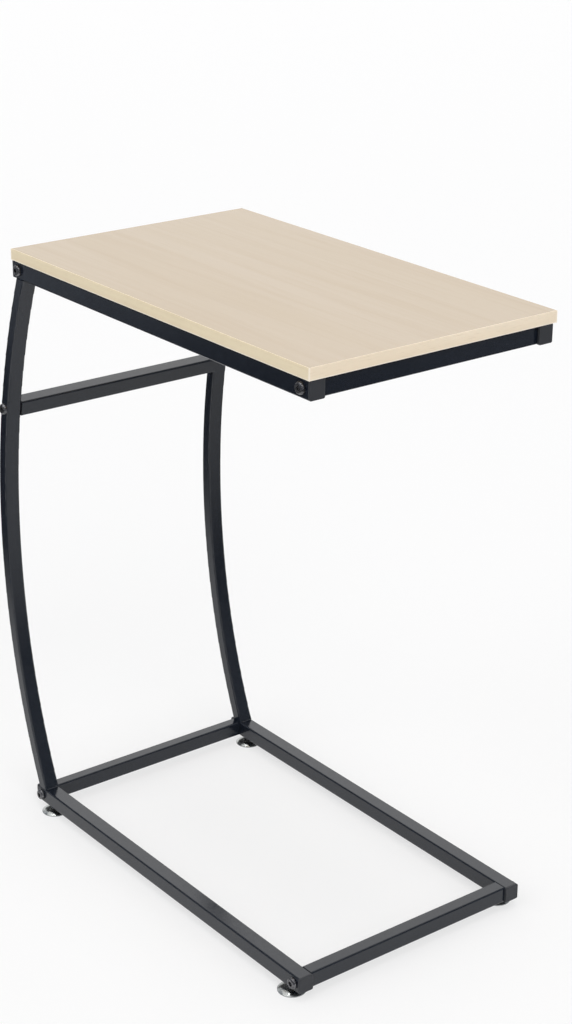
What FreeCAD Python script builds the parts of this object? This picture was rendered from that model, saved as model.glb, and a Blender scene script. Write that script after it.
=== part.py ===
import FreeCAD, Part
import math
import os
import Sketcher

os.makedirs("parts", exist_ok=True)

# Driving sizes in millimetres
driving_sizes = {
    "overall_height": 722,
    "panel_length": 550,
    "panel_width": 328,
    "panel_thickness": 13.5,
    "band_thickness": 1,
    "panel_front_overhang": 5,
    "panel_side_overhang": 3,
    "tube_side": 19,
    "top_tube_height": 21.5,
    "tube_wall": 1.2,
    "tube_corner": 2,
    "base_front_setback": 6.5,
    "base_rear_setback": 6.5,
    "leg_depth": 15.3,
    "leg_bend_radius": 870,
    "leg_top_setback": 11.8,
    "leg_base_setback": 10.8,
    "mid_bar_height": 518,
    "top_bar_setback": 1.5,
    "front_bar_width": 17,
    "rear_bar_inset": 8,
    "plug_head": 3,
    "plug_insert": 4,
    "plug_rounding": 0.9,
    "bolt_radius": 3,
    "bolt_head_radius": 6.8,
    "bolt_head_height": 4.2,
    "bolt_flat_radius": 4.4,
    "bolt_tip": 3,
    "bolt_socket_radius": 3.1,
    "bolt_socket_depth": 2.4,
    "nut_plate_thickness": 4,
    "screw_radius": 2,
    "screw_head_radius": 3.8,
    "screw_head_height": 2.2,
    "screw_depth": 11,
    "screw_inset": 95,
    "foot_height": 10.5,
    "foot_front_inset": 22.6,
    "foot_rear_inset": 23.6,
    "disc_radius": 16.5,
    "disc_rim": 1.2,
    "disc_dome": 3.6,
    "disc_flat_radius": 6.4,
    "disc_socket_floor": 1.2,
    "stud_radius": 3,
    "stud_reach": 14,
    "collar_radius": 5.6,
    "rivet_flange_radius": 6.4,
    "rivet_flange_thickness": 0.8,
    "rivet_barrel_radius": 4.4,
    "rivet_barrel_length": 10,
    "hole_clearance": 0.25,
    "fit_clearance": 0.1,
    "thread_clearance": 0.05,
    "collar_clearance": 0.3,
    "overrun": 2,
}

doc = FreeCAD.newDocument("side_table")
sheet = doc.addObject("Spreadsheet::Sheet", "sizes")
for row, (name, value) in enumerate(driving_sizes.items(), start=1):
    sheet.set(f"A{row}", name)
    sheet.set(f"B{row}", str(value))
    sheet.setAlias(f"B{row}", name)
doc.recompute()

sides = {"near": -1, "far": 1}
along_x = FreeCAD.Vector(1, 0, 0)
along_y = FreeCAD.Vector(0, 1, 0)
along_z = FreeCAD.Vector(0, 0, 1)
half_turn = 180
quarter_turn = 90
no_turn = FreeCAD.Rotation()
x_to_y = FreeCAD.Rotation(along_z, quarter_turn)
z_to_y = FreeCAD.Rotation(along_x, -quarter_turn)
subparts = []


def size(name):
    return float(sheet.get(name))


def place(item, x, y, z, turn=no_turn):
    item.Placement = FreeCAD.Placement(FreeCAD.Vector(x, y, z), turn)
    return item


def bind(item, **formulas):
    for name, formula in formulas.items():
        item.setExpression(name, formula)
    return item


def keep(item, label):
    item.Label = label
    subparts.append(item)
    return item


def solid(kind, name, **formulas):
    return bind(doc.addObject("Part::" + kind, name), **formulas)


def joined(name, items):
    group = doc.addObject("Part::MultiFuse", name)
    group.Shapes = items
    return group


def cut_from(base, tool, name):
    cut = doc.addObject("Part::Cut", name)
    cut.Base = base
    cut.Tool = tool
    return cut


def gathered(items, label):
    group = doc.addObject("Part::Compound", label)
    group.Links = items
    return keep(group, label)


def origin_plane(body, role):
    return next(item for item in body.Origin.OriginFeatures if item.Role == role)


def plane_sketch(body, role, name):
    sketch = body.newObject("Sketcher::SketchObject", name)
    sketch.AttachmentSupport = (origin_plane(body, role), [""])
    sketch.MapMode = "FlatFace"
    return sketch


def name_last(sketch, name, formula):
    sketch.renameConstraint(sketch.ConstraintCount - 1, name)
    sketch.setExpression("Constraints." + name, formula)


# A rectangle with rounded corners about the sketch origin, drawn anticlockwise from its lower side
def rounded_rectangle(sketch, prefix, width, height, corner):
    start_side = size("tube_side") / 2
    start_corner = size("tube_corner")
    start_inner = start_side - start_corner
    first = sketch.GeometryCount
    for turn in range(4):
        spin = FreeCAD.Rotation(along_z, quarter_turn * turn)
        begin = spin.multVec(FreeCAD.Vector(-start_inner, -start_side, 0))
        finish = spin.multVec(FreeCAD.Vector(start_inner, -start_side, 0))
        sketch.addGeometry(Part.LineSegment(begin, finish), False)
    for turn in range(4):
        spin = FreeCAD.Rotation(along_z, quarter_turn * turn)
        centre = spin.multVec(FreeCAD.Vector(start_inner, -start_inner, 0))
        circle = Part.Circle(centre, along_z, start_corner)
        begin_angle = math.radians(quarter_turn * (turn - 1))
        finish_angle = math.radians(quarter_turn * turn)
        sketch.addGeometry(Part.ArcOfCircle(circle, begin_angle, finish_angle), False)
    lines = [first + turn for turn in range(4)]
    arcs = [first + 4 + turn for turn in range(4)]
    for turn in range(4):
        following = lines[(turn + 1) % 4]
        sketch.addConstraint(Sketcher.Constraint("Tangent", lines[turn], 2, arcs[turn], 1))
        sketch.addConstraint(Sketcher.Constraint("Tangent", arcs[turn], 2, following, 1))
    for turn in range(4):
        direction = "Vertical" if turn % 2 else "Horizontal"
        sketch.addConstraint(Sketcher.Constraint(direction, lines[turn]))
    for turn in range(1, 4):
        sketch.addConstraint(Sketcher.Constraint("Equal", arcs[0], arcs[turn]))
    sketch.addConstraint(Sketcher.Constraint("Symmetric", arcs[1], 3, arcs[3], 3, -1, 1))
    sketch.addConstraint(Sketcher.Constraint("DistanceX", lines[3], 1, lines[1], 1, 2 * start_side))
    name_last(sketch, prefix + "_width", width)
    sketch.addConstraint(Sketcher.Constraint("DistanceY", lines[0], 1, lines[2], 1, 2 * start_side))
    name_last(sketch, prefix + "_height", height)
    sketch.addConstraint(Sketcher.Constraint("Radius", arcs[0], start_corner))
    name_last(sketch, prefix + "_corner", corner)


def hollow_section(sketch, width, height):
    rounded_rectangle(sketch, "outer", width, height, "sizes.tube_corner")
    inner_width = width + " - 2 * sizes.tube_wall"
    inner_height = height + " - 2 * sizes.tube_wall"
    rounded_rectangle(sketch, "inner", inner_width, inner_height, "sizes.tube_corner - sizes.tube_wall")


# A straight tube that runs along x from its own origin
def straight_tube(name, length, width, height):
    body = doc.addObject("PartDesign::Body", name)
    sketch = plane_sketch(body, "YZ_Plane", name + "_section")
    hollow_section(sketch, width, height)
    doc.recompute()
    pad = body.newObject("PartDesign::Pad", name + "_pad")
    pad.Profile = sketch
    bind(pad, Length=length)
    return body


def drill(name, x, y, z, radius, depth, turn=no_turn):
    tool = solid("Cylinder", name, Radius=radius, Height=depth)
    return place(tool, x, y, z, turn)


top_rail_length = "sizes.panel_length - sizes.panel_front_overhang"
base_rail_length = top_rail_length + " - sizes.base_front_setback - sizes.base_rear_setback"
square = "sizes.tube_side"
tall = "sizes.top_tube_height"
flat = "sizes.leg_depth"
front_flat = "sizes.front_bar_width"
inside = " - 2 * sizes.tube_wall - 2 * sizes.fit_clearance"
inner_corner = "sizes.tube_corner - sizes.tube_wall"
bolt_hole = "sizes.bolt_radius + sizes.hole_clearance"
through_tube = "sizes.tube_side + 2 * sizes.overrun"
through_wall = "sizes.tube_wall + 2 * sizes.overrun"

tube = size("tube_side")
top_tube = size("top_tube_height")
wall = size("tube_wall")
overrun = size("overrun")

# Heights
base_low = size("foot_height")
base_high = base_low + tube
panel_low = size("overall_height") - size("panel_thickness")
top_low = panel_low - top_tube
leg_rise = top_low - base_high

# Places from front to rear, first measured from the front edge of the panel
top_front = -size("panel_front_overhang")
top_rear = -size("panel_length")
base_front = top_front - size("base_front_setback")
base_rear = top_rear + size("base_rear_setback")
leg_top = top_rear + size("leg_top_setback")
leg_base = base_rear + size("leg_base_setback")

# The leg is an arc through its two ends, bowed to the rear
bend = size("leg_bend_radius")
leg_lean = leg_top - leg_base
half_chord = math.hypot(leg_lean, leg_rise) / 2
chord_offset = math.sqrt(bend**2 - half_chord**2)
bend_x = (leg_top + leg_base) / 2 + chord_offset * leg_rise / (2 * half_chord)
bend_z = (top_low + base_high) / 2 - chord_offset * leg_lean / (2 * half_chord)
leg_rear = bend_x - bend - size("leg_depth") / 2

# The origin is under the middle of the whole table
panel_front = -leg_rear / 2
top_front += panel_front
top_rear += panel_front
base_front += panel_front
base_rear += panel_front
bend_x += panel_front
leg_rear += panel_front
panel_rear = panel_front - size("panel_length")

# Places across the table
panel_half = size("panel_width") / 2
frame_half = panel_half - size("panel_side_overhang")
rail_y = frame_half - tube / 2
inner_half = frame_half - tube
bar_length = "sizes.panel_width - 2 * sizes.panel_side_overhang - 2 * sizes.tube_side"

# Centre of the bar between the legs, and how far the leg leans there
mid_z = size("mid_bar_height")
mid_x = bend_x - math.sqrt(bend**2 - (mid_z - bend_z)**2)
mid_tilt = FreeCAD.Rotation(along_y, math.degrees(math.asin((mid_z - bend_z) / bend)))

# Crossbars: name, x and z of the centre, turn about the crossbar, and width and height of the tube
top_middle = panel_low - top_tube / 2
base_middle = base_low + tube / 2
crossbars = [
    ("top_front", top_front - size("top_bar_setback") - tube / 2, top_middle, no_turn, square, tall),
    ("top_rear", top_rear + tube / 2, top_middle, no_turn, square, tall),
    ("mid", mid_x, mid_z, mid_tilt, square, square),
    ("base_front", base_front - size("front_bar_width") / 2, base_middle, no_turn, front_flat, square),
    ("base_rear", base_rear + size("rear_bar_inset"), base_middle, no_turn, flat, square),
]
screw_places = [top_front - size("screw_inset"), top_rear + size("screw_inset")]
foot_places = {
    "front": base_front - size("foot_front_inset"),
    "rear": base_rear + size("foot_rear_inset"),
}


# Top panel with pilot holes for its screws
panel_core = solid(
    "Box", "panel_core",
    Length="sizes.panel_length - 2 * sizes.band_thickness",
    Width="sizes.panel_width - 2 * sizes.band_thickness",
    Height="sizes.panel_thickness",
)
band = size("band_thickness")
place(panel_core, panel_rear + band, band - panel_half, panel_low)
pilots = []
for side, sign in sides.items():
    for x in screw_places:
        pilot = drill(
            f"{side}_pilot", x, sign * rail_y, panel_low - overrun,
            "sizes.screw_radius + sizes.thread_clearance",
            "sizes.screw_depth + sizes.collar_clearance + sizes.overrun",
        )
        pilots.append(pilot)
keep(cut_from(panel_core, joined("panel_pilots", pilots), "top_panel"), "top_panel")

# Edge bands: the long ones cover the ends of the short ones
for side, sign in sides.items():
    long_band = solid(
        "Box", f"{side}_edge_band",
        Length="sizes.panel_length",
        Width="sizes.band_thickness",
        Height="sizes.panel_thickness",
    )
    place(long_band, panel_rear, sign * (panel_half - band / 2) - band / 2, panel_low)
    keep(long_band, f"{side}_edge_band")
for end, x in (("front", panel_front - band), ("rear", panel_rear)):
    short_band = solid(
        "Box", f"{end}_edge_band",
        Length="sizes.band_thickness",
        Width="sizes.panel_width - 2 * sizes.band_thickness",
        Height="sizes.panel_thickness",
    )
    place(short_band, x, band - panel_half, panel_low)
    keep(short_band, f"{end}_edge_band")


# Bolt holes that run across a side frame at the given crossbars
def bolt_drills(side, sign, level):
    tools = []
    for name, x, z, *_ in crossbars:
        if name.startswith(level):
            start = sign * rail_y - tube / 2 - overrun
            tools.append(drill(f"{side}_{name}_hole", x, start, z, bolt_hole, through_tube, z_to_y))
    return tools


# Top rails with bolt holes, screw holes and driver holes
for side, sign in sides.items():
    rail = straight_tube(f"{side}_top_tube", top_rail_length, square, tall)
    place(rail, top_rear, sign * rail_y, top_middle)
    tools = bolt_drills(side, sign, "top")
    for x in screw_places:
        screw_hole = drill(
            f"{side}_screw_hole", x, sign * rail_y, panel_low - wall - overrun,
            "sizes.screw_radius + sizes.hole_clearance", through_wall,
        )
        driver_hole = drill(
            f"{side}_driver_hole", x, sign * rail_y, top_low - overrun,
            "sizes.screw_head_radius + sizes.hole_clearance", through_wall,
        )
        tools += [screw_hole, driver_hole]
    keep(cut_from(rail, joined(f"{side}_top_tools", tools), f"{side}_top_rail"), f"{side}_top_rail")

# Base rails with bolt holes and holes for the rivet nuts
for side, sign in sides.items():
    rail = straight_tube(f"{side}_base_tube", base_rail_length, square, square)
    place(rail, base_rear, sign * rail_y, base_middle)
    tools = bolt_drills(side, sign, "base")
    for x in foot_places.values():
        nut_hole = drill(
            f"{side}_nut_hole", x, sign * rail_y, base_low - overrun,
            "sizes.rivet_barrel_radius + sizes.fit_clearance", through_wall,
        )
        tools.append(nut_hole)
    keep(cut_from(rail, joined(f"{side}_base_tools", tools), f"{side}_base_rail"), f"{side}_base_rail")


# Legs: a flat tube turned about the bend axis, cut level where it meets the rails
for side, sign in sides.items():
    bent = doc.addObject("PartDesign::Body", f"{side}_bent_tube")
    section = plane_sketch(bent, "XY_Plane", f"{side}_leg_section")
    hollow_section(section, flat, square)
    axis_foot = FreeCAD.Vector(bend, -tube, 0)
    axis_head = FreeCAD.Vector(bend, tube, 0)
    axis = section.addGeometry(Part.LineSegment(axis_foot, axis_head), True)
    section.addConstraint(Sketcher.Constraint("Symmetric", axis, 1, axis, 2, -1))
    section.addConstraint(Sketcher.Constraint("DistanceY", axis, 1, axis, 2, 2 * tube))
    name_last(section, "axis_length", "2 * sizes.tube_side")
    section.addConstraint(Sketcher.Constraint("DistanceX", -1, 1, axis, 1, bend))
    name_last(section, "axis_distance", "sizes.leg_bend_radius")
    doc.recompute()
    sweep = bent.newObject("PartDesign::Revolution", f"{side}_leg_sweep")
    sweep.Profile = section
    sweep.ReferenceAxis = (section, ["Axis0"])
    sweep.Midplane = True
    bind(sweep, Angle="2 * asin((0.5 * sizes.overall_height) / sizes.leg_bend_radius)")
    place(bent, bend_x - bend, sign * rail_y, bend_z)
    level_cut = solid(
        "Box", f"{side}_leg_level",
        Length="sizes.panel_length",
        Width="sizes.tube_side + 2 * sizes.overrun",
        Height="sizes.overall_height - sizes.panel_thickness - sizes.top_tube_height"
               " - sizes.foot_height - sizes.tube_side",
    )
    place(level_cut, leg_rear - overrun, sign * rail_y - tube / 2 - overrun, base_high)
    trimmed = doc.addObject("Part::Common", f"{side}_leg_trimmed")
    trimmed.Base = bent
    trimmed.Tool = level_cut
    holes = bolt_drills(side, sign, "mid")
    keep(cut_from(trimmed, holes[0], f"{side}_leg"), f"{side}_leg")

# Crossbars between the side frames
for name, x, z, tilt, width, height in crossbars:
    crossbar = straight_tube(f"{name}_crossbar", bar_length, width, height)
    place(crossbar, x, -inner_half, z, tilt * x_to_y)
    keep(crossbar, f"{name}_crossbar")


# A plug with a rounded head outside the tube and a short insert inside it
def end_plug(label, height):
    body = doc.addObject("PartDesign::Body", label)
    head_sketch = plane_sketch(body, "YZ_Plane", label + "_head")
    rounded_rectangle(head_sketch, "head", square, height, "sizes.tube_corner")
    doc.recompute()
    head = body.newObject("PartDesign::Pad", label + "_head_pad")
    head.Profile = head_sketch
    bind(head, Length="sizes.plug_head")
    insert_sketch = plane_sketch(body, "YZ_Plane", label + "_insert")
    rounded_rectangle(insert_sketch, "insert", square + inside, height + inside, inner_corner)
    doc.recompute()
    insert = body.newObject("PartDesign::Pad", label + "_insert_pad")
    insert.Profile = insert_sketch
    insert.Reversed = True
    bind(insert, Length="sizes.plug_insert")
    doc.recompute()
    head_face = size("plug_head")
    rim = []
    for number, edge in enumerate(insert.Shape.Edges, start=1):
        if all(abs(point.X - head_face) < size("thread_clearance") for point in edge.Vertexes):
            rim.append(f"Edge{number}")
    rounding = body.newObject("PartDesign::Fillet", label + "_rounding")
    rounding.Base = (insert, rim)
    bind(rounding, Radius="sizes.plug_rounding")
    return keep(body, label)


turned_back = FreeCAD.Rotation(along_z, half_turn)
rail_ends = {
    "top": (top_front, top_rear, top_middle, tall),
    "base": (base_front, base_rear, base_middle, square),
}
for side, sign in sides.items():
    for level, (front_x, rear_x, z, height) in rail_ends.items():
        place(end_plug(f"{side}_{level}_front_plug", height), front_x, sign * rail_y, z)
        place(end_plug(f"{side}_{level}_rear_plug", height), rear_x, sign * rail_y, z, turned_back)


# A slice of a ball with a wide flat under side and a small flat top
def dome(name, base_radius, flat_radius, height):
    rise = f"({height})"
    below = f"(({base_radius})^2 - ({flat_radius})^2 - {rise}^2) / (2 * {rise})"
    ball = f"sqrt(({base_radius})^2 + ({below})^2)"
    slice_low = f"asin(({below}) / {ball})"
    slice_high = f"asin(({below} + {rise}) / {ball})"
    shape = solid("Sphere", name, Radius=ball, Angle1=slice_low, Angle2=slice_high)
    doc.recompute()
    return shape


# A button head bolt along its own z, with the head above the origin
def button_bolt(name):
    head = dome(
        name + "_dome",
        "sizes.bolt_head_radius", "sizes.bolt_flat_radius", "sizes.bolt_head_height",
    )
    place(head, 0, 0, -head.Shape.BoundBox.ZMin)
    shank_length = size("tube_side") + size("nut_plate_thickness") + size("bolt_tip")
    shank = solid(
        "Cylinder", name + "_shank",
        Radius="sizes.bolt_radius",
        Height="sizes.tube_side + sizes.nut_plate_thickness + sizes.bolt_tip",
    )
    place(shank, 0, 0, -shank_length)
    socket = solid(
        "Prism", name + "_socket",
        Circumradius="sizes.bolt_socket_radius",
        Height="sizes.bolt_socket_depth + sizes.overrun",
    )
    socket.Polygon = 6
    place(socket, 0, 0, size("bolt_head_height") - size("bolt_socket_depth"))
    return cut_from(joined(name + "_blank", [head, shank]), socket, name)


# A threaded plate that fills the end of a crossbar, along its own x
def nut_plate(name, width, height):
    body = doc.addObject("PartDesign::Body", name + "_plate")
    sketch = plane_sketch(body, "YZ_Plane", name + "_outline")
    rounded_rectangle(sketch, "plate", width + inside, height + inside, inner_corner)
    doc.recompute()
    pad = body.newObject("PartDesign::Pad", name + "_pad")
    pad.Profile = sketch
    bind(pad, Length="sizes.nut_plate_thickness")
    hole = drill(
        name + "_thread", -overrun, 0, 0,
        "sizes.bolt_radius + sizes.thread_clearance",
        "sizes.nut_plate_thickness + 2 * sizes.overrun",
        FreeCAD.Rotation(along_y, quarter_turn),
    )
    return cut_from(body, hole, name)


for side, sign in sides.items():
    outward = FreeCAD.Rotation(along_x, -sign * quarter_turn)
    inward = FreeCAD.Rotation(along_z, -sign * quarter_turn)
    bolts = []
    plates = []
    for name, x, z, tilt, width, height in crossbars:
        bolt = button_bolt(f"{side}_{name}_bolt")
        bolts.append(place(bolt, x, sign * frame_half, z, tilt * outward))
        plate = nut_plate(f"{side}_{name}_nut", width, height)
        plates.append(place(plate, x, sign * inner_half, z, tilt * inward))
    gathered(bolts, f"{side}_frame_bolts")
    gathered(plates, f"{side}_nut_plates")

# Screws up through the top rails into the panel
screws = []
for side, sign in sides.items():
    for number, x in enumerate(screw_places, start=1):
        screw_name = f"{side}_screw_{number}"
        seat = panel_low - wall
        shank = solid(
            "Cylinder", screw_name + "_shank",
            Radius="sizes.screw_radius",
            Height="sizes.tube_wall + sizes.screw_depth",
        )
        place(shank, x, sign * rail_y, seat)
        head = solid(
            "Cylinder", screw_name + "_head",
            Radius="sizes.screw_head_radius",
            Height="sizes.screw_head_height",
        )
        place(head, x, sign * rail_y, seat - size("screw_head_height"))
        screws.append(joined(screw_name, [shank, head]))
gathered(screws, "panel_screws")


# A rivet nut with its flange under the base rail
def rivet_nut(name, x, y):
    flange = solid(
        "Cylinder", name + "_flange",
        Radius="sizes.rivet_flange_radius",
        Height="sizes.rivet_flange_thickness",
    )
    place(flange, x, y, base_low - size("rivet_flange_thickness"))
    barrel = solid(
        "Cylinder", name + "_barrel",
        Radius="sizes.rivet_barrel_radius",
        Height="sizes.rivet_barrel_length",
    )
    place(barrel, x, y, base_low)
    thread = drill(
        name + "_thread", x, y, base_low - size("rivet_flange_thickness") - overrun,
        "sizes.stud_radius + sizes.thread_clearance",
        "sizes.rivet_flange_thickness + sizes.rivet_barrel_length + 2 * sizes.overrun",
    )
    return cut_from(joined(name + "_blank", [flange, barrel]), thread, name)


# A domed disc with a round socket for the end of its stud
def foot_disc(label, x, y):
    rim = solid("Cylinder", label + "_rim", Radius="sizes.disc_radius", Height="sizes.disc_rim")
    place(rim, x, y, 0)
    cap = dome(label + "_cap", "sizes.disc_radius", "sizes.disc_flat_radius", "sizes.disc_dome")
    place(cap, x, y, size("disc_rim") - cap.Shape.BoundBox.ZMin)
    socket = drill(
        label + "_socket", x, y, size("disc_socket_floor"),
        "sizes.stud_radius + sizes.thread_clearance",
        "sizes.disc_rim + sizes.disc_dome + sizes.overrun",
    )
    return keep(cut_from(joined(label + "_blank", [rim, cap]), socket, label), label)


# A stud from the socket floor up into the rail, with a six-sided collar that stops under the rivet nut
def foot_stud(label, x, y):
    shank = solid(
        "Cylinder", label + "_shank",
        Radius="sizes.stud_radius",
        Height="sizes.foot_height - sizes.disc_socket_floor + sizes.stud_reach",
    )
    place(shank, x, y, size("disc_socket_floor"))
    collar = solid(
        "Prism", label + "_collar",
        Circumradius="sizes.collar_radius",
        Height="sizes.foot_height - sizes.rivet_flange_thickness - sizes.collar_clearance"
               " - sizes.disc_rim - sizes.disc_dome",
    )
    collar.Polygon = 6
    place(collar, x, y, size("disc_rim") + size("disc_dome"))
    return keep(joined(label, [shank, collar]), label)


rivets = []
for side, sign in sides.items():
    for end, x in foot_places.items():
        rivets.append(rivet_nut(f"{side}_{end}_rivet", x, sign * rail_y))
        foot_disc(f"{side}_{end}_foot_disc", x, sign * rail_y)
        foot_stud(f"{side}_{end}_foot_stud", x, sign * rail_y)
gathered(rivets, "foot_rivet_nuts")

doc.recompute()

for item in doc.Objects:
    if "Invalid" in item.State or "Error" in item.State:
        raise RuntimeError(f"{item.Label} did not compute: {item.State}")
for item in subparts:
    if item.Shape.isNull() or not item.Shape.isValid():
        raise RuntimeError(f"{item.Label} has no valid shape")
    item.Shape.exportStep(f"parts/{item.Label}.step")
    box = item.Shape.BoundBox
    print(f"{item.Label}: {box.XLength:.1f} x {box.YLength:.1f} x {box.ZLength:.1f} mm")
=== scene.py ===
import math
import bmesh
import bpy
import numpy as np
from mathutils import Matrix, Vector


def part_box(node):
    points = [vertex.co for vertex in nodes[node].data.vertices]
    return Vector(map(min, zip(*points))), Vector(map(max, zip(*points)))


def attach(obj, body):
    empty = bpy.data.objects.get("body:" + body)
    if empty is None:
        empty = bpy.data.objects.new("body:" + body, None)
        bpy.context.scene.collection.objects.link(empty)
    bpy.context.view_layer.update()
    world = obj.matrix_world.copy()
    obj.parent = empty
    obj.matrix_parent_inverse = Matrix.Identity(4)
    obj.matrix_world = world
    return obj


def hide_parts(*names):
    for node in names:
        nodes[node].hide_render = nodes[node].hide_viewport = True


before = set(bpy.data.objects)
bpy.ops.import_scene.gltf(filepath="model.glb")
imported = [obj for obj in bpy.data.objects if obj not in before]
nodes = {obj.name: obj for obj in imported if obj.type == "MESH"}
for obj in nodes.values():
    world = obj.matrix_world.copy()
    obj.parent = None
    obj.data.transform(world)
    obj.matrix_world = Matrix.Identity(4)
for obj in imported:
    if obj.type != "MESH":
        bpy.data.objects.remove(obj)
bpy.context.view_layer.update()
scene = bpy.context.scene
mm = 0.001
sides = {"near": -1, "far": 1}
ends = ("front", "rear")
print("frame loaded with", len(nodes), "nodes")


# node helpers: a socket given as an input is linked, anything else is its value
def addNode(tree, kind, inputs=None, **settings):
    made = tree.nodes.new(kind)
    for name, value in settings.items():
        setattr(made, name, value)
    for name, value in (inputs or {}).items():
        if isinstance(value, bpy.types.NodeSocket):
            tree.links.new(value, made.inputs[name])
        else:
            made.inputs[name].default_value = value
    return made


def newFinish(name):
    finish = bpy.data.materials.new(name)
    finish.use_nodes = True
    tree = finish.node_tree
    shader = tree.nodes["Principled BSDF"]
    place = addNode(tree, "ShaderNodeTexCoord").outputs["Object"]
    return finish, tree, shader, place


def stretched(tree, place, scale):
    return addNode(tree, "ShaderNodeMapping", {"Vector": place, "Scale": scale}).outputs["Vector"]


def noiseOf(tree, vector, scale, detail=3.0, rough=0.5, twist=0.0):
    made = addNode(tree, "ShaderNodeTexNoise", {
        "Vector": vector, "Scale": scale, "Detail": detail, "Roughness": rough, "Distortion": twist})
    return made.outputs["Fac"]


def spanOf(tree, value, low, high, fromLow=0.3, fromHigh=0.7):
    made = addNode(tree, "ShaderNodeMapRange", {
        "Value": value, "From Min": fromLow, "From Max": fromHigh, "To Min": low, "To Max": high})
    return made.outputs["Result"]


def mixOf(tree, share, first, second, blend="MIX"):
    made = addNode(tree, "ShaderNodeMix", data_type="RGBA", blend_type=blend)
    for spot, value in ((0, share), (6, first), (7, second)):
        if isinstance(value, bpy.types.NodeSocket):
            tree.links.new(value, made.inputs[spot])
        else:
            made.inputs[spot].default_value = value if spot == 0 else (*value, 1.0)
    return made.outputs[2]


def bumpOf(tree, height, strength, distance, under=None):
    inputs = {"Height": height, "Strength": strength, "Distance": distance}
    if under is not None:
        inputs["Normal"] = under
    return addNode(tree, "ShaderNodeBump", inputs).outputs["Normal"]


def feed(tree, shader, **sockets):
    for name, socket in sockets.items():
        tree.links.new(socket, shader.inputs[name.replace("_", " ")])


def paint(item, finish):
    item.data.materials.clear()
    item.data.materials.append(finish)


# black powder coat: blue black with slow tone drift, a fine orange peel and paler grains in it
powderCoat = {
    "dark": (0.0062, 0.0092, 0.0155), "light": (0.0084, 0.0114, 0.0185), "grain": (0.026, 0.030, 0.038),
    "driftScale": 14.0, "dustScale": 160.0,
    "grainScale": 1300.0, "grainShare": 0.6, "grainFrom": 0.62, "grainTo": 0.80,
    "peelScale": 620.0, "peelStrength": 0.06, "peelDepth": 0.4 * mm,
    "roughLow": 0.14, "roughHigh": 0.22, "bend": 1.47,
}


def makePowderCoat(look):
    finish, tree, shader, place = newFinish("powderCoat")
    drift = noiseOf(tree, place, look["driftScale"], detail=2.0)
    tone = mixOf(tree, spanOf(tree, drift, 0.0, 1.0), look["dark"], look["light"])
    dust = noiseOf(tree, place, look["dustScale"], detail=4.0, rough=0.6)
    peel = noiseOf(tree, place, look["peelScale"], detail=2.0)
    grains = noiseOf(tree, place, look["grainScale"], detail=1.0)
    grainShare = spanOf(tree, grains, 0.0, look["grainShare"], look["grainFrom"], look["grainTo"])
    speckled = mixOf(tree, grainShare, tone, look["grain"])
    feed(tree, shader, Base_Color=speckled,
         Roughness=spanOf(tree, dust, look["roughLow"], look["roughHigh"]),
         Normal=bumpOf(tree, peel, look["peelStrength"], look["peelDepth"]))
    shader.inputs["IOR"].default_value = look["bend"]
    return finish


# moulded plastic: fine spark texture, a little greyer than the coat
plugPlastic = {
    "dark": (0.034, 0.036, 0.041), "light": (0.044, 0.046, 0.052), "driftScale": 60.0, "grainScale": 1500.0,
    "grainStrength": 0.12, "grainDepth": 0.15 * mm, "roughLow": 0.42, "roughHigh": 0.55, "gloss": 0.2,
}


def makePlugPlastic(look):
    finish, tree, shader, place = newFinish("plugPlastic")
    drift = noiseOf(tree, place, look["driftScale"], detail=2.0)
    grain = noiseOf(tree, place, look["grainScale"], detail=1.0)
    feed(tree, shader, Base_Color=mixOf(tree, drift, look["dark"], look["light"]),
         Roughness=spanOf(tree, grain, look["roughLow"], look["roughHigh"]),
         Normal=bumpOf(tree, grain, look["grainStrength"], look["grainDepth"]))
    shader.inputs["Specular IOR Level"].default_value = look["gloss"]
    return finish


# oxide blacked steel for bolts and studs, with worn lighter patches
blackSteel = {
    "dark": (0.10, 0.10, 0.107), "worn": (0.28, 0.28, 0.29), "wearScale": 420.0, "wearFrom": 0.45, "wearTo": 0.75,
    "fineScale": 2400.0, "fineStrength": 0.06, "fineDepth": 0.05 * mm,
    "roughLow": 0.20, "roughHigh": 0.34, "metal": 0.9,
}


def makeBlackSteel(look):
    finish, tree, shader, place = newFinish("blackSteel")
    wear = noiseOf(tree, place, look["wearScale"], detail=4.0, rough=0.65)
    fine = noiseOf(tree, place, look["fineScale"], detail=2.0)
    wornShare = spanOf(tree, wear, 0.0, 1.0, look["wearFrom"], look["wearTo"])
    feed(tree, shader, Base_Color=mixOf(tree, wornShare, look["dark"], look["worn"]),
         Roughness=spanOf(tree, wear, look["roughLow"], look["roughHigh"]),
         Normal=bumpOf(tree, fine, look["fineStrength"], look["fineDepth"]))
    shader.inputs["Metallic"].default_value = look["metal"]
    return finish


# zinc plate for the hidden fasteners
zincPlate = {
    "dark": (0.42, 0.42, 0.40), "light": (0.60, 0.60, 0.57), "spangleScale": 520.0, "spangleStrength": 0.05,
    "spangleDepth": 0.05 * mm, "roughLow": 0.28, "roughHigh": 0.45, "metal": 1.0,
}


def makeZincPlate(look):
    finish, tree, shader, place = newFinish("zincPlate")
    spangle = noiseOf(tree, place, look["spangleScale"], detail=3.0, rough=0.6)
    feed(tree, shader, Base_Color=mixOf(tree, spanOf(tree, spangle, 0.0, 1.0), look["dark"], look["light"]),
         Roughness=spanOf(tree, spangle, look["roughLow"], look["roughHigh"]),
         Normal=bumpOf(tree, spangle, look["spangleStrength"], look["spangleDepth"]))
    shader.inputs["Metallic"].default_value = look["metal"]
    return finish


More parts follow.
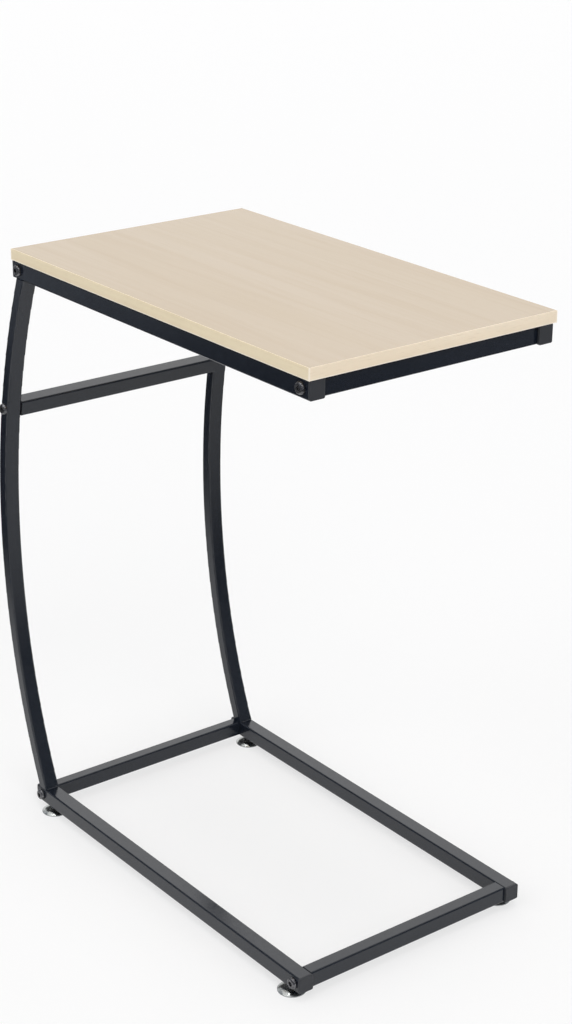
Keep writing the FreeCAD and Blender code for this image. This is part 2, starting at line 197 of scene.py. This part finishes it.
# bright plate on the foot discs: polished, with a wavy pressed skin, faint turning marks and haze
brightPlate = {
    "dark": (0.47, 0.485, 0.475), "light": (0.64, 0.655, 0.645), "hazeScale": 240.0,
    "markStretch": (300.0, 300.0, 4000.0), "markStrength": 0.04, "markDepth": 0.03 * mm,
    "waveScale": 210.0, "waveStrength": 0.35, "waveDepth": 1.2 * mm,
    "roughLow": 0.14, "roughHigh": 0.28, "metal": 1.0,
}


def makeBrightPlate(look):
    finish, tree, shader, place = newFinish("brightPlate")
    haze = noiseOf(tree, place, look["hazeScale"], detail=4.0, rough=0.6)
    marks = noiseOf(tree, stretched(tree, place, look["markStretch"]), 1.0, detail=2.0)
    waves = noiseOf(tree, place, look["waveScale"], detail=2.0, rough=0.55)
    wavy = bumpOf(tree, waves, look["waveStrength"], look["waveDepth"])
    feed(tree, shader, Base_Color=mixOf(tree, haze, look["dark"], look["light"]),
         Roughness=spanOf(tree, haze, look["roughLow"], look["roughHigh"]),
         Normal=bumpOf(tree, marks, look["markStrength"], look["markDepth"], wavy))
    shader.inputs["Metallic"].default_value = look["metal"]
    return finish


# pale oak: long figure, broad tone bands, fine short pores, all along x or along y
oakFace = {
    "pale": (0.612, 0.496, 0.362), "warm": (0.588, 0.467, 0.324), "shade": (0.534, 0.410, 0.274),
    "pore": (0.51, 0.385, 0.25), "roughLow": 0.15, "roughHigh": 0.23,
    "bandReach": (1.1, 9.0), "bandFrom": 0.38, "bandTo": 0.66,
    "figureReach": (2.6, 46.0), "figureShare": 0.55, "figureFrom": 0.48, "figureTo": 0.72,
    "streakReach": (5.0, 190.0), "streakShare": 0.30, "streakFrom": 0.52, "streakTo": 0.75,
    "poreReach": (60.0, 1500.0), "poreShare": 0.35, "poreFrom": 0.60, "poreTo": 0.74,
    "poreStrength": 0.08, "poreDepth": 0.06 * mm,
}
# where the painted edge highlight lies: near the lower edge and near the upright corners
edgeHighlightReach = {"lowerFull": 0.7 * mm, "lowerNone": 1.7 * mm, "cornerNone": 0.6 * mm, "cornerFull": 0.2 * mm}


# share of the painted highlight along the board's edges: the lower edge all round, and the upright joint at each
# corner of the board
def paintedEdgeHighlight(tree, place):
    boardLow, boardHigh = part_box("top_panel")
    axes = addNode(tree, "ShaderNodeSeparateXYZ", {"Vector": place}).outputs
    lowerFull = boardLow[2] + edgeHighlightReach["lowerFull"]
    lower = spanOf(tree, axes["Z"], 1.0, 0.0, lowerFull, boardLow[2] + edgeHighlightReach["lowerNone"])
    upright = []
    for spot, axis in ((0, "X"), (1, "Y")):
        middle = (boardLow[spot] + boardHigh[spot]) / 2.0
        reach = (boardHigh[spot] - boardLow[spot]) / 2.0
        offset = addNode(tree, "ShaderNodeMath", {0: axes[axis], 1: middle}, operation="SUBTRACT").outputs[0]
        away = addNode(tree, "ShaderNodeMath", {0: offset}, operation="ABSOLUTE").outputs[0]
        cornerNone = reach - edgeHighlightReach["cornerNone"]
        upright.append(spanOf(tree, away, 0.0, 1.0, cornerNone, reach + edgeHighlightReach["cornerFull"]))
    corner = addNode(tree, "ShaderNodeMath", {0: upright[0], 1: upright[1]}, operation="MULTIPLY").outputs[0]
    return addNode(tree, "ShaderNodeMath", {0: lower, 1: corner}, operation="MAXIMUM").outputs[0]


def makeOak(name, look, alongY=False):
    finish, tree, shader, place = newFinish(name)

    def along(length, across):
        return stretched(tree, place, (across, length, across) if alongY else (length, across, across))

    def shareOf(noise, kind, most):
        return spanOf(tree, noise, 0.0, most, look[kind + "From"], look[kind + "To"])

    bands = noiseOf(tree, along(*look["bandReach"]), 1.0, detail=2.0, rough=0.5, twist=0.6)
    figure = noiseOf(tree, along(*look["figureReach"]), 1.0, detail=6.0, rough=0.58, twist=0.35)
    streak = noiseOf(tree, along(*look["streakReach"]), 1.0, detail=3.0, rough=0.5)
    pores = noiseOf(tree, along(*look["poreReach"]), 1.0, detail=2.0, rough=0.6)
    ground = mixOf(tree, shareOf(bands, "band", 1.0), look["pale"], look["warm"])
    figured = mixOf(tree, shareOf(figure, "figure", look["figureShare"]), ground, look["shade"])
    lined = mixOf(tree, shareOf(streak, "streak", look["streakShare"]), figured, look["shade"])
    pored = mixOf(tree, shareOf(pores, "pore", look["poreShare"]), lined, look["pore"])
    # paler tone mixed in as a painted highlight on the lower edge and the upright corners
    if "paintedHighlightTone" in look:
        pored = mixOf(tree, paintedEdgeHighlight(tree, place), pored, look["paintedHighlightTone"])
    feed(tree, shader, Base_Color=pored,
         Roughness=spanOf(tree, figure, look["roughLow"], look["roughHigh"]),
         Normal=bumpOf(tree, pores, look["poreStrength"], look["poreDepth"]))
    return finish


# the edge bands are paler than the face, and the ones across the ends paler still; both carry a paler tone that
# paints a highlight on the lower edge and the upright corners
oakEdge = dict(oakFace, pale=(0.810, 0.705, 0.510), warm=(0.790, 0.675, 0.470), shade=(0.735, 0.610, 0.415),
               paintedHighlightTone=(0.910, 0.820, 0.690), roughLow=0.26, roughHigh=0.36)
oakFront = dict(oakEdge, pale=(0.850, 0.735, 0.580), warm=(0.830, 0.705, 0.540), shade=(0.780, 0.645, 0.480))

coat = makePowderCoat(powderCoat)
plastic = makePlugPlastic(plugPlastic)
blacked = makeBlackSteel(blackSteel)
zinc = makeZincPlate(zincPlate)
bright = makeBrightPlate(brightPlate)
oak = makeOak("oakFace", oakFace)
edgeLong = makeOak("oakEdgeLong", oakEdge)
edgeShort = makeOak("oakEdgeShort", oakFront, alongY=True)
print("finishes made")

for name, item in nodes.items():
    if name.endswith(("_rail", "_leg", "_crossbar")):
        paint(item, coat)
    elif name.endswith("_plug"):
        paint(item, plastic)
    elif name.endswith(("_plates", "_screws", "_nuts")):
        paint(item, zinc)
    elif name == "top_panel":
        paint(item, oak)


# quads of a grid of rows by columns, either way may close on itself
def gridQuads(rows, cols, closeRows=False, closeCols=False):
    row = np.arange(rows if closeRows else rows - 1)
    col = np.arange(cols if closeCols else cols - 1)
    row, col = np.meshgrid(row, col, indexing="ij")
    nextRow = (row + 1) % rows
    nextCol = (col + 1) % cols
    corners = [row * cols + col, row * cols + nextCol, nextRow * cols + nextCol, nextRow * cols + col]
    return np.stack(corners, axis=-1).reshape(-1, 4)


# several grids joined in one mesh, doubles merged so that poles and seams close, faces turned outwards
def addPiece(name, grids, finish, body, replaced=(), smoothAngle=35.0):
    points = []
    quads = []
    start = 0
    for grid, closeRows, closeCols in grids:
        rows, cols, _ = grid.shape
        points.append(grid.reshape(-1, 3))
        quads.append(gridQuads(rows, cols, closeRows, closeCols) + start)
        start += rows * cols
    mesh = bpy.data.meshes.new(name)
    mesh.from_pydata(np.concatenate(points).tolist(), [], np.concatenate(quads).tolist())
    work = bmesh.new()
    work.from_mesh(mesh)
    bmesh.ops.remove_doubles(work, verts=work.verts, dist=0.002 * mm)
    bmesh.ops.dissolve_degenerate(work, edges=work.edges, dist=0.001 * mm)
    bmesh.ops.recalc_face_normals(work, faces=work.faces)
    work.to_mesh(mesh)
    work.free()
    mesh.shade_smooth()
    mesh.set_sharp_from_angle(angle=math.radians(smoothAngle))
    piece = bpy.data.objects.new(name, mesh)
    scene.collection.objects.link(piece)
    mesh.materials.append(finish)
    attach(piece, body)
    if replaced:
        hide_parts(*replaced)
    return piece


# a profile of radius and height turned once round a z axis through the centre
def turned(profile, centre, steps=72):
    radius, height = np.asarray(profile, float).T
    angle = np.linspace(0.0, 2.0 * np.pi, steps, endpoint=False)
    grid = np.empty((len(radius), steps, 3))
    grid[..., 0] = centre[0] + radius[:, None] * np.cos(angle)
    grid[..., 1] = centre[1] + radius[:, None] * np.sin(angle)
    grid[..., 2] = centre[2] + height[:, None]
    return grid


# points of a circle arc in a plane, angles in degrees
def arcPoints(centre, radius, begin, finish, count):
    angle = np.radians(np.linspace(begin, finish, count))
    return np.stack([centre[0] + radius * np.cos(angle), centre[1] + radius * np.sin(angle)], axis=1)


# edge bands: a rectangle section with eased outer corners, carried along the edge
bandLook = {"ease": 0.9 * mm, "easeSteps": 6, "stations": 9}


def bandSection(thickness, height, ease, steps):
    upper = arcPoints((thickness - ease, height - ease), ease, 90.0, 0.0, steps)
    lower = arcPoints((thickness - ease, ease), ease, 0.0, -90.0, steps)
    inner = np.array([[0.0, 0.0], [0.0, height]])
    return np.concatenate([upper, lower, inner])


def makeBand(name, outward, finish):
    low, high = (np.array(corner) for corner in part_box(name))
    axis = int(np.argmax(np.abs(outward)))
    run = 1 - axis
    section = bandSection(high[axis] - low[axis], high[2] - low[2], bandLook["ease"], bandLook["easeSteps"])
    stations = np.linspace(low[run], high[run], bandLook["stations"])
    grid = np.empty((len(stations), len(section), 3))
    face = high[axis] if outward[axis] > 0 else low[axis]
    depth = (high[axis] - low[axis]) - section[:, 0]
    grid[..., axis] = face - np.sign(outward[axis]) * depth
    grid[..., run] = stations[:, None]
    grid[..., 2] = low[2] + section[:, 1]
    capLow = np.stack([grid[0], np.broadcast_to(grid[0].mean(axis=0), grid[0].shape)])
    capHigh = np.stack([grid[-1], np.broadcast_to(grid[-1].mean(axis=0), grid[-1].shape)])
    grids = [(grid, False, True), (capLow, False, True), (capHigh, False, True)]
    return addPiece(name + "_trim", grids, finish, "root", [name])


makeBand("near_edge_band", (0, -1, 0), edgeLong)
makeBand("far_edge_band", (0, 1, 0), edgeLong)
makeBand("front_edge_band", (1, 0, 0), edgeShort)
makeBand("rear_edge_band", (-1, 0, 0), edgeShort)
print("board edges done")

# foot disc: pressed bright cap with a rolled rim, a dome and a small flat seat for the stud
discLook = {
    "radius": 16.5 * mm, "rim": 0.9 * mm, "height": 4.8 * mm, "seat": 6.4 * mm, "hollow": 13.0 * mm, "power": 2.2,
    "hollowRise": 0.5 * mm, "hollowSlope": 0.8 * mm, "seatLip": 0.5 * mm, "rimBegin": -90.0, "rimEnd": 60.0,
    "rimSteps": 10, "domeSteps": 24,
}


def discProfile(look):
    rim = look["rim"]
    hollow = look["hollow"]
    hollowRise = look["hollowRise"]
    under = np.array([[0.0, hollowRise], [hollow, hollowRise], [hollow + look["hollowSlope"], 0.0]])
    rolled = arcPoints((look["radius"] - rim, rim), rim, look["rimBegin"], look["rimEnd"], look["rimSteps"])
    startRadius, startHeight = rolled[-1]
    share = np.linspace(0.0, 1.0, look["domeSteps"])[1:]
    radius = startRadius + (look["seat"] - startRadius) * share
    rise = (1.0 - (1.0 - share) ** look["power"]) * (look["height"] - startHeight)
    dome = np.stack([radius, startHeight + rise], axis=1)
    seat = np.array([[look["seat"] - look["seatLip"], look["height"]], [0.0, look["height"]]])
    return np.concatenate([under, rolled, dome, seat])


# stud: right hand thread whose crest climbs one pitch a turn, with a six sided collar under it
studLook = {
    "major": 3.0 * mm, "depth": 0.5 * mm, "pitch": 1.0 * mm, "steps": 36, "perPitch": 8, "flank": 2.6,
    "lead": 1.2 * mm, "leadCut": 0.18,
    "collar": 5.6 * mm, "collarGap": 0.05 * mm, "collarTop": 9.4 * mm, "bevel": 0.58,
}


def threadGrid(look, centre, low, high):
    rows = int(round((high - low) / look["pitch"] * look["perPitch"])) + 1
    height = np.linspace(low, high, rows)[:, None]
    angle = np.linspace(0.0, 2.0 * np.pi, look["steps"], endpoint=False)[None, :]
    phase = (height / look["pitch"] - angle / (2.0 * np.pi)) % 1.0
    groove = np.clip(1.0 - np.abs(phase - 0.5) * look["flank"], 0.0, 1.0)
    lead = np.clip((high - height) / look["lead"], 0.0, 1.0)
    radius = (look["major"] - look["depth"] * groove) * (1.0 - look["leadCut"] + look["leadCut"] * lead)
    grid = np.empty((rows, look["steps"], 3))
    grid[..., 0] = centre[0] + radius * np.cos(angle)
    grid[..., 1] = centre[1] + radius * np.sin(angle)
    grid[..., 2] = height
    top = np.broadcast_to(np.array([centre[0], centre[1], high]), (1, look["steps"], 3))
    bottom = np.broadcast_to(np.array([centre[0], centre[1], low]), (1, look["steps"], 3))
    return np.concatenate([bottom, grid, top])


# radius of a six sided outline at each angle
def hexRadius(angle, corner):
    wedge = (angle + np.pi / 6.0) % (np.pi / 3.0) - np.pi / 6.0
    return corner * math.cos(math.pi / 6.0) / np.cos(wedge)


def collarGrid(look, centre, low, high):
    angle = np.linspace(0.0, 2.0 * np.pi, look["steps"] * 2, endpoint=False)
    corner = look["collar"]
    flat = corner * math.cos(math.pi / 6.0)
    bevel = (corner - flat) * look["bevel"]
    levels = [(low, 0.0), (low, flat), (low + bevel, corner), (high - bevel, corner), (high, flat), (high, 0.0)]
    grid = np.empty((len(levels), len(angle), 3))
    outline = hexRadius(angle + np.pi / 6.0, corner)
    for spot, (height, limit) in enumerate(levels):
        radius = np.minimum(outline, limit)
        grid[spot, :, 0] = centre[0] + radius * np.cos(angle)
        grid[spot, :, 1] = centre[1] + radius * np.sin(angle)
        grid[spot, :, 2] = height
    return grid


for side in sides:
    for end in ends:
        foot = side + "_" + end
        low, high = (np.array(corner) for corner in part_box(foot + "_foot_disc"))
        centre = (low + high) / 2.0
        disc = turned(discProfile(discLook), (centre[0], centre[1], low[2]))
        addPiece(foot + "_disc_cap", [(disc, False, True)], bright, foot + "_foot",
                 [foot + "_foot_disc"])
        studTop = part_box(foot + "_foot_stud")[1][2]
        collarLow = high[2] + studLook["collarGap"]
        collarHigh = studLook["collarTop"]
        grids = [
            (collarGrid(studLook, centre, collarLow, collarHigh), False, True),
            (threadGrid(studLook, centre, collarHigh, studTop), False, True),
        ]
        addPiece(foot + "_stud_thread", grids, blacked, foot + "_foot",
                 [foot + "_foot_stud"], 30.0)
print("feet done")

# button head bolts: rings from the socket floor out over the dome, under the head and down the shank
boltLook = {
    "head": 6.8 * mm, "rise": 4.2 * mm, "flat": 4.4 * mm, "socket": 3.1 * mm, "socketDepth": 2.4 * mm,
    "shank": 3.0 * mm, "length": 26.0 * mm, "steps": 72, "domeSteps": 14, "lip": 0.5 * mm, "floor": 0.98,
    "socketEdge": 0.22 * mm, "edge": 0.25 * mm, "tip": 0.6 * mm, "tipShare": 0.8, "firstTurn": 17.0, "nextTurn": 41.0,
}


def boltRings(look):
    angle = np.linspace(0.0, 2.0 * np.pi, look["steps"], endpoint=False)
    hexed = hexRadius(angle, look["socket"])
    rise = look["rise"]
    edge = look["edge"]
    shank = look["shank"]
    socketFloor = rise - look["socketDepth"]
    rings = [(0.0 * hexed, socketFloor), (hexed * look["floor"], socketFloor),
             (hexed, rise - edge), (hexed + look["socketEdge"], rise)]
    share = np.linspace(0.0, 1.0, look["domeSteps"])
    reach = look["flat"] + (look["head"] - look["flat"]) * np.sin(share * np.pi / 2.0)
    fall = (rise - look["lip"]) * (1.0 - np.cos(share * np.pi / 2.0))
    for radius, drop in zip(reach, fall):
        rings.append((np.full_like(angle, radius), rise - drop))
    end = -look["length"]
    for radius, height in ((look["head"], edge), (look["head"] - edge, 0.0), (shank, 0.0),
                           (shank, end + look["tip"]), (shank * look["tipShare"], end), (0.0, end)):
        rings.append((np.full_like(angle, radius), height))
    grid = np.empty((len(rings), len(angle), 3))
    for spot, (radius, height) in enumerate(rings):
        grid[spot, :, 0] = radius * np.cos(angle)
        grid[spot, :, 1] = radius * np.sin(angle)
        grid[spot, :, 2] = height
    return grid


def boltSpots():
    spots = []
    for name in ("top_front", "top_rear", "mid", "base_front", "base_rear"):
        low, high = (np.array(corner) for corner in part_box(name + "_crossbar"))
        middle = (low + high) / 2.0
        spots.append((middle[0], middle[2]))
    return spots


for side, sign in sides.items():
    low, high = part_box(side + "_top_rail")
    faceY = low[1] if sign < 0 else high[1]
    rings = boltRings(boltLook)
    grids = []
    for turn, (x, z) in enumerate(boltSpots()):
        spin = math.radians(boltLook["firstTurn"] + boltLook["nextTurn"] * turn)
        spun = rings.copy()
        spun[..., 0] = rings[..., 0] * math.cos(spin) - rings[..., 1] * math.sin(spin)
        spun[..., 1] = rings[..., 0] * math.sin(spin) + rings[..., 1] * math.cos(spin)
        placed = np.empty_like(spun)
        placed[..., 0] = x + spun[..., 0]
        placed[..., 1] = faceY + sign * spun[..., 2]
        placed[..., 2] = z + spun[..., 1]
        grids.append((placed, False, True))
    addPiece(side + "_bolt_heads", grids, blacked, "root", [side + "_frame_bolts"], 32.0)
print("bolts done")

# weld beads across the leg ends: a tapered round bead with a ripple along it
beadLook = {
    "radius": 1.3 * mm, "ripple": 0.12, "ripples": 9.0, "taper": 9.0, "inset": 1.6 * mm, "lift": 0.35 * mm,
    "around": 14, "along": 46, "reach": 0.2 * mm,
}


def beadGrid(look, x, lowY, highY, z):
    share = np.linspace(0.0, 1.0, look["along"])[:, None]
    angle = np.linspace(0.0, 2.0 * np.pi, look["around"], endpoint=False)[None, :]
    taper = np.clip(np.minimum(share, 1.0 - share) * look["taper"], 0.0, 1.0) ** 0.5
    wave = 1.0 + look["ripple"] * np.sin(share * look["ripples"] * 2.0 * np.pi)
    radius = look["radius"] * taper * wave
    grid = np.empty((look["along"], look["around"], 3))
    grid[..., 0] = x + radius * np.cos(angle)
    grid[..., 1] = lowY + look["inset"] + (highY - lowY - 2.0 * look["inset"]) * share
    grid[..., 2] = z + radius * np.sin(angle)
    return grid


# x of the leg's rear and front faces at a height, from the points of the leg's own mesh
def legFaces(side, z):
    points = np.empty(len(nodes[side + "_leg"].data.vertices) * 3)
    nodes[side + "_leg"].data.vertices.foreach_get("co", points)
    points = points.reshape(-1, 3)
    level = points[np.abs(points[:, 2] - z) < beadLook["reach"]]
    return level[:, 0].min(), level[:, 0].max()


for side, sign in sides.items():
    railLow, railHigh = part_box(side + "_top_rail")
    legLow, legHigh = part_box(side + "_leg")
    grids = []
    for z, shift in ((legLow[2], beadLook["lift"]), (legHigh[2], -beadLook["lift"])):
        rearX, frontX = legFaces(side, z)
        for x in (rearX, frontX):
            grids.append((beadGrid(beadLook, x, railLow[1], railHigh[1], z + shift), False, True))
    addPiece(side + "_weld_beads", grids, coat, "root")
print("welds done")


# share of 1 where a ray comes from the camera, a mirror or glass, and 0 for light on a surface
def seenShare(tree):
    path = addNode(tree, "ShaderNodeLightPath").outputs
    first = addNode(tree, "ShaderNodeMath", {0: path["Is Camera Ray"], 1: path["Is Glossy Ray"]}, operation="MAXIMUM")
    both = {0: first.outputs[0], 1: path["Is Transmission Ray"]}
    return addNode(tree, "ShaderNodeMath", both, operation="MAXIMUM").outputs[0]


# pale floor, wide enough to fill every view; part of its tone glows, so the shadow on it stays light
floorLook = {"half": 60.0, "tone": (0.960, 0.960, 0.962), "glow": 0.66, "rough": 0.9, "gloss": 0.1}
floorMesh = bpy.data.meshes.new("floor")
half = floorLook["half"]
floorCorners = [(-half, -half, 0.0), (half, -half, 0.0), (half, half, 0.0), (-half, half, 0.0)]
floorMesh.from_pydata(floorCorners, [], [(0, 1, 2, 3)])
floor = bpy.data.objects.new("floor", floorMesh)
scene.collection.objects.link(floor)
floorFinish, floorTree, floorShader, _ = newFinish("floorPaper")
floorShader.inputs["Base Color"].default_value = (*floorLook["tone"], 1.0)
floorShader.inputs["Roughness"].default_value = floorLook["rough"]
floorShader.inputs["Specular IOR Level"].default_value = floorLook["gloss"]
floorGlow = addNode(floorTree, "ShaderNodeEmission", {"Color": (*floorLook["tone"], 1.0), "Strength": 1.0})
glowInputs = {0: seenShare(floorTree), 1: floorLook["glow"]}
floorShare = addNode(floorTree, "ShaderNodeMath", glowInputs, operation="MULTIPLY")
floorMix = addNode(floorTree, "ShaderNodeMixShader", {
    0: floorShare.outputs[0], 1: floorShader.outputs[0], 2: floorGlow.outputs[0]})
floorTree.links.new(floorMix.outputs[0], floorTree.nodes["Material Output"].inputs["Surface"])
floorMesh.materials.append(floorFinish)

# dark room round the white sweep, seen in reflections alone:
# a floor disc that darkens outwards and a wall, open behind
roomLook = {
    "inner": 0.68, "fade": 0.48, "veil": 0.02, "wall": 3.4, "height": 4.2, "tone": (0.012, 0.013, 0.015),
    "farTone": (0.320, 0.340, 0.375), "farFrom": 2.10, "farTo": 2.60,
    "behind": (-0.79, 0.61, 0.0), "openFrom": 0.50, "openTo": 0.85, "steps": 96,
    "lift": 4.0 * mm, "ringSteps": 10, "wallSteps": 8, "rough": 0.9,
}


def roomGrid(look):
    ringSteps, wallSteps, lift = look["ringSteps"], look["wallSteps"], look["lift"]
    ring = np.stack([np.linspace(0.0, look["wall"], ringSteps), np.full(ringSteps, lift)], axis=1)
    rises = np.linspace(lift, look["height"], wallSteps + 1)[1:]
    wall = np.stack([np.full(wallSteps, look["wall"]), rises], axis=1)
    return turned(np.concatenate([ring, wall]), (0.0, 0.0, 0.0), look["steps"])


roomPoints = roomGrid(roomLook)
roomMesh = bpy.data.meshes.new("darkRoom")
roomQuads = gridQuads(*roomPoints.shape[:2], closeCols=True)
roomMesh.from_pydata(roomPoints.reshape(-1, 3).tolist(), [], roomQuads.tolist())
room = bpy.data.objects.new("darkRoom", roomMesh)
scene.collection.objects.link(room)
roomFinish, roomTree, roomShader, roomPlace = newFinish("darkCloth")
roomLevel = {0: roomPlace, 1: (1.0, 1.0, 0.0)}
roomFlat = addNode(roomTree, "ShaderNodeVectorMath", roomLevel, operation="MULTIPLY").outputs[0]
roomReach = addNode(roomTree, "ShaderNodeVectorMath", {0: roomFlat}, operation="LENGTH").outputs["Value"]
roomWay = addNode(roomTree, "ShaderNodeVectorMath", {0: roomFlat}, operation="NORMALIZE").outputs[0]
roomBehind = {0: roomWay, 1: roomLook["behind"]}
roomSide = addNode(roomTree, "ShaderNodeVectorMath", roomBehind, operation="DOT_PRODUCT").outputs["Value"]
roomInner = roomLook["inner"]
roomIn = spanOf(roomTree, roomReach, roomLook["veil"], 1.0, roomInner, roomInner + roomLook["fade"])
roomOpen = spanOf(roomTree, roomSide, 1.0, 0.0, roomLook["openFrom"], roomLook["openTo"])
roomShare = addNode(roomTree, "ShaderNodeMath", {0: roomIn, 1: roomOpen}, operation="MULTIPLY").outputs[0]
roomFar = spanOf(roomTree, roomReach, 0.0, 1.0, roomLook["farFrom"], roomLook["farTo"])
roomTone = mixOf(roomTree, roomFar, roomLook["tone"], roomLook["farTone"])
roomShader.inputs["Roughness"].default_value = roomLook["rough"]
feed(roomTree, roomShader, Base_Color=roomTone, Alpha=roomShare)
roomMesh.materials.append(roomFinish)
for way in ("camera", "diffuse", "transmission", "volume_scatter", "shadow"):
    setattr(room, "visible_" + way, False)

# soft sky, white to the eye and in mirrors, two broad lamps from the front and one from above
lightLook = {
    "horizon": 0.42, "zenith": 0.50, "backdrop": 0.96,
    "lamps": {
        "rightLamp": {"energy": 1.10, "from": (0.75, -0.25, 0.62), "spread": 40.0},
        "leftLamp": {"energy": 0.60, "from": (-0.15, -0.75, 0.65), "spread": 40.0},
        "topLamp": {"energy": 0.66, "from": (0.0, 0.0, 1.0), "spread": 24.0},
    },
}
world = bpy.data.worlds.new("studio")
scene.world = world
world.use_nodes = True
skyTree = world.node_tree
skyPlace = addNode(skyTree, "ShaderNodeTexCoord").outputs["Generated"]
skyHeight = addNode(skyTree, "ShaderNodeSeparateXYZ", {"Vector": skyPlace}).outputs["Z"]
skyLevel = spanOf(skyTree, skyHeight, lightLook["horizon"], lightLook["zenith"], 0.0, 1.0)
skyLight = skyTree.nodes["Background"]
skyLight.inputs["Color"].default_value = (1.0, 1.0, 1.0, 1.0)
skyTree.links.new(skyLevel, skyLight.inputs["Strength"])
backdropTone = (lightLook["backdrop"], lightLook["backdrop"], lightLook["backdrop"], 1.0)
backdrop = addNode(skyTree, "ShaderNodeBackground", {"Color": backdropTone, "Strength": 1.0})
skyMix = addNode(skyTree, "ShaderNodeMixShader", {
    0: seenShare(skyTree), 1: skyLight.outputs[0], 2: backdrop.outputs[0]})
skyTree.links.new(skyMix.outputs[0], skyTree.nodes["World Output"].inputs["Surface"])
for name, look in lightLook["lamps"].items():
    lampData = bpy.data.lights.new(name, "SUN")
    lampData.energy = look["energy"]
    lampData.angle = math.radians(look["spread"])
    lamp = bpy.data.objects.new(name, lampData)
    lamp.rotation_euler = Vector(look["from"]).to_track_quat("Z", "Y").to_euler()
    scene.collection.objects.link(lamp)

# wide soft box far behind, at a height where it gleams on the upper faces of the base and not on the board
boxLook = {"energy": 105.0, "wide": 12.0, "tall": 4.2, "place": (-10.0, 6.7, 7.5)}
boxData = bpy.data.lights.new("softBox", "AREA")
boxData.shape = "RECTANGLE"
boxData.size, boxData.size_y, boxData.energy = boxLook["wide"], boxLook["tall"], boxLook["energy"]
softBox = bpy.data.objects.new("softBox", boxData)
softBox.location = boxLook["place"]
softBox.rotation_euler = Vector(boxLook["place"]).to_track_quat("Z", "Y").to_euler()
softBox.visible_camera = False
scene.collection.objects.link(softBox)

# camera: where the picture was taken from, angles in degrees, focal length in picture points
cameraLook = {
    "place": (1.80719, -1.35641, 1.34421), "azimuth": 52.21, "elevation": 21.846, "roll": 0.404,
    "focal": 2120.16, "tall": 1024.0, "sensor": 36.0, "reach": 300.0,
}
azimuth, elevation, roll = (math.radians(cameraLook[name]) for name in ("azimuth", "elevation", "roll"))
level = math.cos(elevation)
back = Vector((math.sin(azimuth) * level, -math.cos(azimuth) * level, math.sin(elevation)))
levelRight = Vector((math.cos(azimuth), math.sin(azimuth), 0.0))
levelUp = back.cross(levelRight)
right = levelRight * math.cos(roll) + levelUp * math.sin(roll)
up = levelUp * math.cos(roll) - levelRight * math.sin(roll)
cameraData = bpy.data.cameras.new("camera")
cameraData.sensor_width = cameraLook["sensor"]
cameraData.lens = cameraLook["focal"] * cameraLook["sensor"] / cameraLook["tall"]
cameraData.clip_end = cameraLook["reach"]
camera = bpy.data.objects.new("camera", cameraData)
turn = Matrix((right, up, back)).transposed().to_4x4()
camera.matrix_world = Matrix.Translation(cameraLook["place"]) @ turn
scene.collection.objects.link(camera)
scene.camera = camera
scene.view_settings.view_transform = "Standard"
print("stage, light and camera set")
